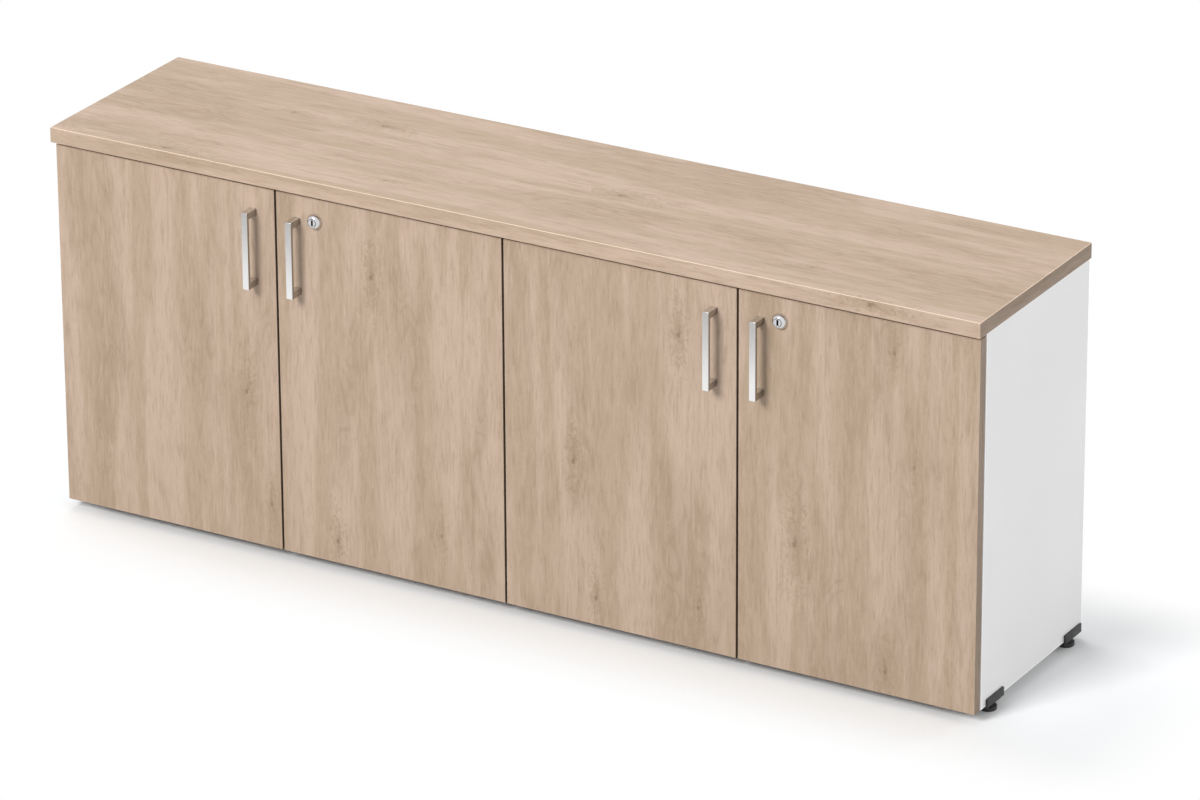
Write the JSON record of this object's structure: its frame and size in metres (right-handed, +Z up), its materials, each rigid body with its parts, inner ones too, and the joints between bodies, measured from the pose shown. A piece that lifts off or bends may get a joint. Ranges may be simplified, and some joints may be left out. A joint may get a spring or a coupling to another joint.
{
  "type": "office credenza",
  "caption": "Low office credenza with oak-finish hinged doors, bow handles, cam locks, white carcass, inner shelves and levelling glides.",
  "frame": {"origin": "on the floor, under the middle of the credenza's outer box, handles and glides included", "axes": "+X to the right seen from the front, +Y to the back, +Z up"},
  "size_m": [1.802, 0.42, 0.72],
  "materials": {
    "oak_board": "matt laminate with a light oak grain",
    "white_board": "white melamine, finely textured",
    "satin_steel": "brushed along the bar",
    "chrome": "polished plating",
    "nickel": "nickel-plated pressed steel",
    "zinc": "bright zinc plating",
    "black_plastic": "moulded, fine matt grain",
    "clear_rubber": "soft translucent"
  },
  "bodies": {
    "cabinet": {"back_panel_left": "white_board", "back_panel_right": "white_board", "bolt_keepers": "nickel", "bottom_panel_left": "white_board", "bottom_panel_right": "white_board", "centre_partition": "white_board", "door_buffers": "clear_rubber", "foot_brackets_centre": "black_plastic", "foot_brackets_side": "black_plastic", "front_rail_left": "white_board", "front_rail_right": "white_board", "hinge_arms_centre": "nickel", "hinge_arms_outer": "nickel", "hinge_plates": "nickel", "lock_keepers": "nickel", "rear_rail_left": "white_board", "rear_rail_right": "white_board", "shelf_left": "white_board", "shelf_pins": "zinc", "shelf_right": "white_board", "side_panel_left": "white_board", "side_panel_right": "white_board", "top_panel": "oak_board"},
    "door_1": {"bolt_1_case": "nickel", "door_1_handle": "satin_steel", "door_1_hinge_cups": "nickel", "door_1_panel": "oak_board"},
    "door_2": {"door_2_handle": "satin_steel", "door_2_hinge_cups": "nickel", "door_2_panel": "oak_board", "lock_2_housing": "chrome", "lock_2_nut": "nickel"},
    "door_3": {"bolt_3_case": "nickel", "door_3_handle": "satin_steel", "door_3_hinge_cups": "nickel", "door_3_panel": "oak_board"},
    "door_4": {"door_4_handle": "satin_steel", "door_4_hinge_cups": "nickel", "door_4_panel": "oak_board", "lock_4_housing": "chrome", "lock_4_nut": "nickel"},
    "lock_2_barrel": {"lock_2_plug": "chrome", "lock_2_cam": "nickel"},
    "lock_4_barrel": {"lock_4_plug": "chrome", "lock_4_cam": "nickel"},
    "bolt_1": {"bolt_1_rod": "nickel"},
    "bolt_3": {"bolt_3_rod": "nickel"},
    "glide_front_centre": {"glide_front_centre": "black_plastic"},
    "glide_front_left": {"glide_front_left": "black_plastic"},
    "glide_front_right": {"glide_front_right": "black_plastic"},
    "glide_rear_centre": {"glide_rear_centre": "black_plastic"},
    "glide_rear_left": {"glide_rear_left": "black_plastic"},
    "glide_rear_right": {"glide_rear_right": "black_plastic"}
  },
  "joints": [
    {"name": "door_1_open", "type": "hinge", "parent": "cabinet", "child": "door_1", "pos_m": [-0.88775, -0.1715, 0.352], "axis": [0, 0, -1], "range_deg": [0, 95]},
    {"name": "door_2_open", "type": "hinge", "parent": "cabinet", "child": "door_2", "pos_m": [-0.01025, -0.1715, 0.352], "axis": [0, 0, 1], "range_deg": [0, 85]},
    {"name": "door_3_open", "type": "hinge", "parent": "cabinet", "child": "door_3", "pos_m": [0.01025, -0.1715, 0.352], "axis": [0, 0, -1], "range_deg": [0, 85]},
    {"name": "door_4_open", "type": "hinge", "parent": "cabinet", "child": "door_4", "pos_m": [0.88775, -0.1715, 0.352], "axis": [0, 0, 1], "range_deg": [0, 95]},
    {"name": "lock_2_turn", "type": "hinge", "parent": "door_2", "child": "lock_2_barrel", "pos_m": [-0.3695, -0.1535, 0.645], "axis": [0, 1, 0], "range_deg": [0, 90]},
    {"name": "lock_4_turn", "type": "hinge", "parent": "door_4", "child": "lock_4_barrel", "pos_m": [0.5285, -0.1535, 0.645], "axis": [0, 1, 0], "range_deg": [0, 90]},
    {"name": "bolt_1_shoot", "type": "slide", "parent": "door_1", "child": "bolt_1", "axis": [0, 0, 1], "range_m": [0, 0.012]},
    {"name": "bolt_3_shoot", "type": "slide", "parent": "door_3", "child": "bolt_3", "axis": [0, 0, 1], "range_m": [0, 0.012]},
    {"name": "level_front_centre", "type": "slide", "parent": "cabinet", "child": "glide_front_centre", "axis": [0, 0, -1], "range_m": [-0.0012, 0.012]},
    {"name": "level_front_left", "type": "slide", "parent": "cabinet", "child": "glide_front_left", "axis": [0, 0, -1], "range_m": [-0.0012, 0.012]},
    {"name": "level_front_right", "type": "slide", "parent": "cabinet", "child": "glide_front_right", "axis": [0, 0, -1], "range_m": [-0.0012, 0.012]},
    {"name": "level_rear_centre", "type": "slide", "parent": "cabinet", "child": "glide_rear_centre", "axis": [0, 0, -1], "range_m": [-0.0012, 0.012]},
    {"name": "level_rear_left", "type": "slide", "parent": "cabinet", "child": "glide_rear_left", "axis": [0, 0, -1], "range_m": [-0.0012, 0.012]},
    {"name": "level_rear_right", "type": "slide", "parent": "cabinet", "child": "glide_rear_right", "axis": [0, 0, -1], "range_m": [-0.0012, 0.012]}
  ]
}
